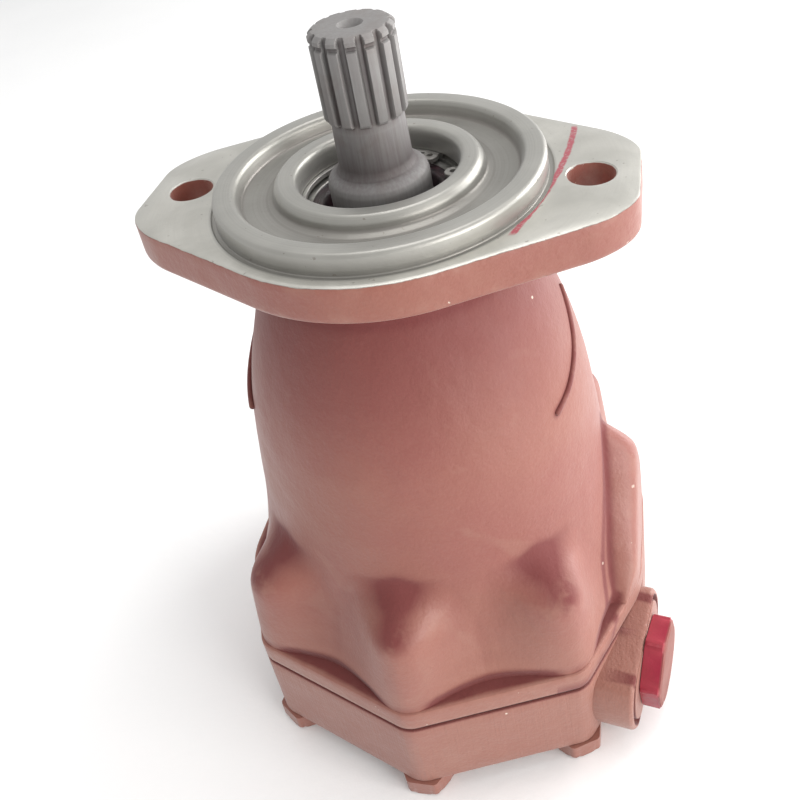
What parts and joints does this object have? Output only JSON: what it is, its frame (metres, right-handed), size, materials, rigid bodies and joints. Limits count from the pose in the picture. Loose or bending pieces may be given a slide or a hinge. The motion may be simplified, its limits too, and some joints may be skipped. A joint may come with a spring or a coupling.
{
  "type": "axial piston pump",
  "caption": "Fixed-displacement swash-plate axial piston pump with a two-bolt pilot flange, splined shaft and bolted end cover.",
  "frame": {"origin": "on the shaft axis, at the underside of the cover bolt heads", "axes": "+Z along the shaft towards its splined end; X through the two flange bolt holes; the high side of the swash plate is towards +Y"},
  "size_m": [0.2158, 0.21, 0.311],
  "materials": {
    "casting_paint": "matt salmon-red primer on cast iron, machined faces bare",
    "plug_paint": "semi-gloss darker red paint",
    "shaft_steel": "ground and cut steel, lightly oiled",
    "bearing_steel": "ground hardened steel",
    "block_iron": "machined iron",
    "bronze": "lapped bearing bronze",
    "black_rubber": "matt nitrile rubber",
    "gasket_fibre": "compressed fibre sheet"
  },
  "bodies": {
    "casing": {"housing": "casting_paint", "end_cover": "casting_paint", "cover_gasket": "gasket_fibre", "cover_bolt_1": "casting_paint", "cover_bolt_2": "casting_paint", "cover_bolt_3": "casting_paint", "cover_bolt_4": "casting_paint", "cover_bolt_5": "casting_paint", "cover_bolt_6": "casting_paint", "dowel_pin_1": "bearing_steel", "dowel_pin_2": "bearing_steel", "port_plug_a": "plug_paint", "port_plug_b": "plug_paint", "port_o_ring_a": "black_rubber", "port_o_ring_b": "black_rubber", "drain_plug": "plug_paint", "drain_o_ring": "black_rubber", "shaft_seal": "black_rubber", "seal_snap_ring": "bearing_steel", "front_bearing_outer": "bearing_steel", "rear_bearing_outer": "bearing_steel", "swash_plate": "bearing_steel", "valve_plate": "bronze", "valve_plate_pin": "bearing_steel"},
    "rotating_group": {"drive_shaft": "shaft_steel", "front_bearing_inner": "bearing_steel", "cylinder_block": "block_iron", "ball_guide": "bearing_steel", "block_spring": "bearing_steel", "spring_washer_front": "bearing_steel", "spring_washer_rear": "bearing_steel"},
    "front_roller_cage": {"front_bearing_rollers": "bearing_steel"},
    "rear_roller_cage": {"rear_bearing_rollers": "bearing_steel"},
    "shoe_ring": {"shoe_retainer": "bearing_steel", "slipper_1": "bronze", "slipper_2": "bronze", "slipper_3": "bronze", "slipper_4": "bronze", "slipper_5": "bronze", "slipper_6": "bronze", "slipper_7": "bronze", "slipper_8": "bronze", "slipper_9": "bronze"},
    "piston_body_1": {"piston_1": "bearing_steel"},
    "piston_body_2": {"piston_2": "bearing_steel"},
    "piston_body_3": {"piston_3": "bearing_steel"},
    "piston_body_4": {"piston_4": "bearing_steel"},
    "piston_body_5": {"piston_5": "bearing_steel"},
    "piston_body_6": {"piston_6": "bearing_steel"},
    "piston_body_7": {"piston_7": "bearing_steel"},
    "piston_body_8": {"piston_8": "bearing_steel"},
    "piston_body_9": {"piston_9": "bearing_steel"}
  },
  "joints": [
    {"name": "shaft_turn", "type": "hinge", "parent": "casing", "child": "rotating_group", "pos_m": [0, 0, 0.2], "axis": [0, 0, 1], "continuous": true},
    {"name": "front_cage_turn", "type": "hinge", "parent": "casing", "child": "front_roller_cage", "pos_m": [0, 0, 0.195], "axis": [0, 0, 1], "continuous": true},
    {"name": "rear_cage_turn", "type": "hinge", "parent": "casing", "child": "rear_roller_cage", "pos_m": [0, 0, 0.034], "axis": [0, 0, 1], "continuous": true},
    {"name": "shoe_ring_turn", "type": "hinge", "parent": "casing", "child": "shoe_ring", "pos_m": [0, 0, 0.14759], "axis": [0, -0.2924, 0.9563], "continuous": true},
    {"name": "piston_swivel_1", "type": "hinge", "parent": "shoe_ring", "child": "piston_body_1", "pos_m": [0, 0.04106, 0.16014], "axis": [0, -0.2924, 0.9563], "continuous": true},
    {"name": "piston_swivel_2", "type": "hinge", "parent": "shoe_ring", "child": "piston_body_2", "pos_m": [-0.0276, 0.03145, 0.15721], "axis": [0, -0.2924, 0.9563], "continuous": true},
    {"name": "piston_swivel_3", "type": "hinge", "parent": "shoe_ring", "child": "piston_body_3", "pos_m": [-0.04229, 0.00713, 0.14977], "axis": [0, -0.2924, 0.9563], "continuous": true},
    {"name": "piston_swivel_4", "type": "hinge", "parent": "shoe_ring", "child": "piston_body_4", "pos_m": [-0.03719, -0.02053, 0.14131], "axis": [0, -0.2924, 0.9563], "continuous": true},
    {"name": "piston_swivel_5", "type": "hinge", "parent": "shoe_ring", "child": "piston_body_5", "pos_m": [-0.01469, -0.03859, 0.13579], "axis": [0, -0.2924, 0.9563], "continuous": true},
    {"name": "piston_swivel_6", "type": "hinge", "parent": "shoe_ring", "child": "piston_body_6", "pos_m": [0.01469, -0.03859, 0.13579], "axis": [0, -0.2924, 0.9563], "continuous": true},
    {"name": "piston_swivel_7", "type": "hinge", "parent": "shoe_ring", "child": "piston_body_7", "pos_m": [0.03719, -0.02053, 0.14131], "axis": [0, -0.2924, 0.9563], "continuous": true},
    {"name": "piston_swivel_8", "type": "hinge", "parent": "shoe_ring", "child": "piston_body_8", "pos_m": [0.04229, 0.00713, 0.14977], "axis": [0, -0.2924, 0.9563], "continuous": true},
    {"name": "piston_swivel_9", "type": "hinge", "parent": "shoe_ring", "child": "piston_body_9", "pos_m": [0.0276, 0.03145, 0.15721], "axis": [0, -0.2924, 0.9563], "continuous": true}
  ],
  "couplings": [
    {"joint": "front_cage_turn", "follows": "shaft_turn", "ratio": 0.4272},
    {"joint": "rear_cage_turn", "follows": "shaft_turn", "ratio": 0.4167},
    {"joint": "shoe_ring_turn", "follows": "shaft_turn", "ratio": 1},
    {"joint": "piston_swivel_1", "follows": "shaft_turn", "ratio": -1},
    {"joint": "piston_swivel_2", "follows": "shaft_turn", "ratio": -1},
    {"joint": "piston_swivel_3", "follows": "shaft_turn", "ratio": -1},
    {"joint": "piston_swivel_4", "follows": "shaft_turn", "ratio": -1},
    {"joint": "piston_swivel_5", "follows": "shaft_turn", "ratio": -1},
    {"joint": "piston_swivel_6", "follows": "shaft_turn", "ratio": -1},
    {"joint": "piston_swivel_7", "follows": "shaft_turn", "ratio": -1},
    {"joint": "piston_swivel_8", "follows": "shaft_turn", "ratio": -1},
    {"joint": "piston_swivel_9", "follows": "shaft_turn", "ratio": -1}
  ]
}
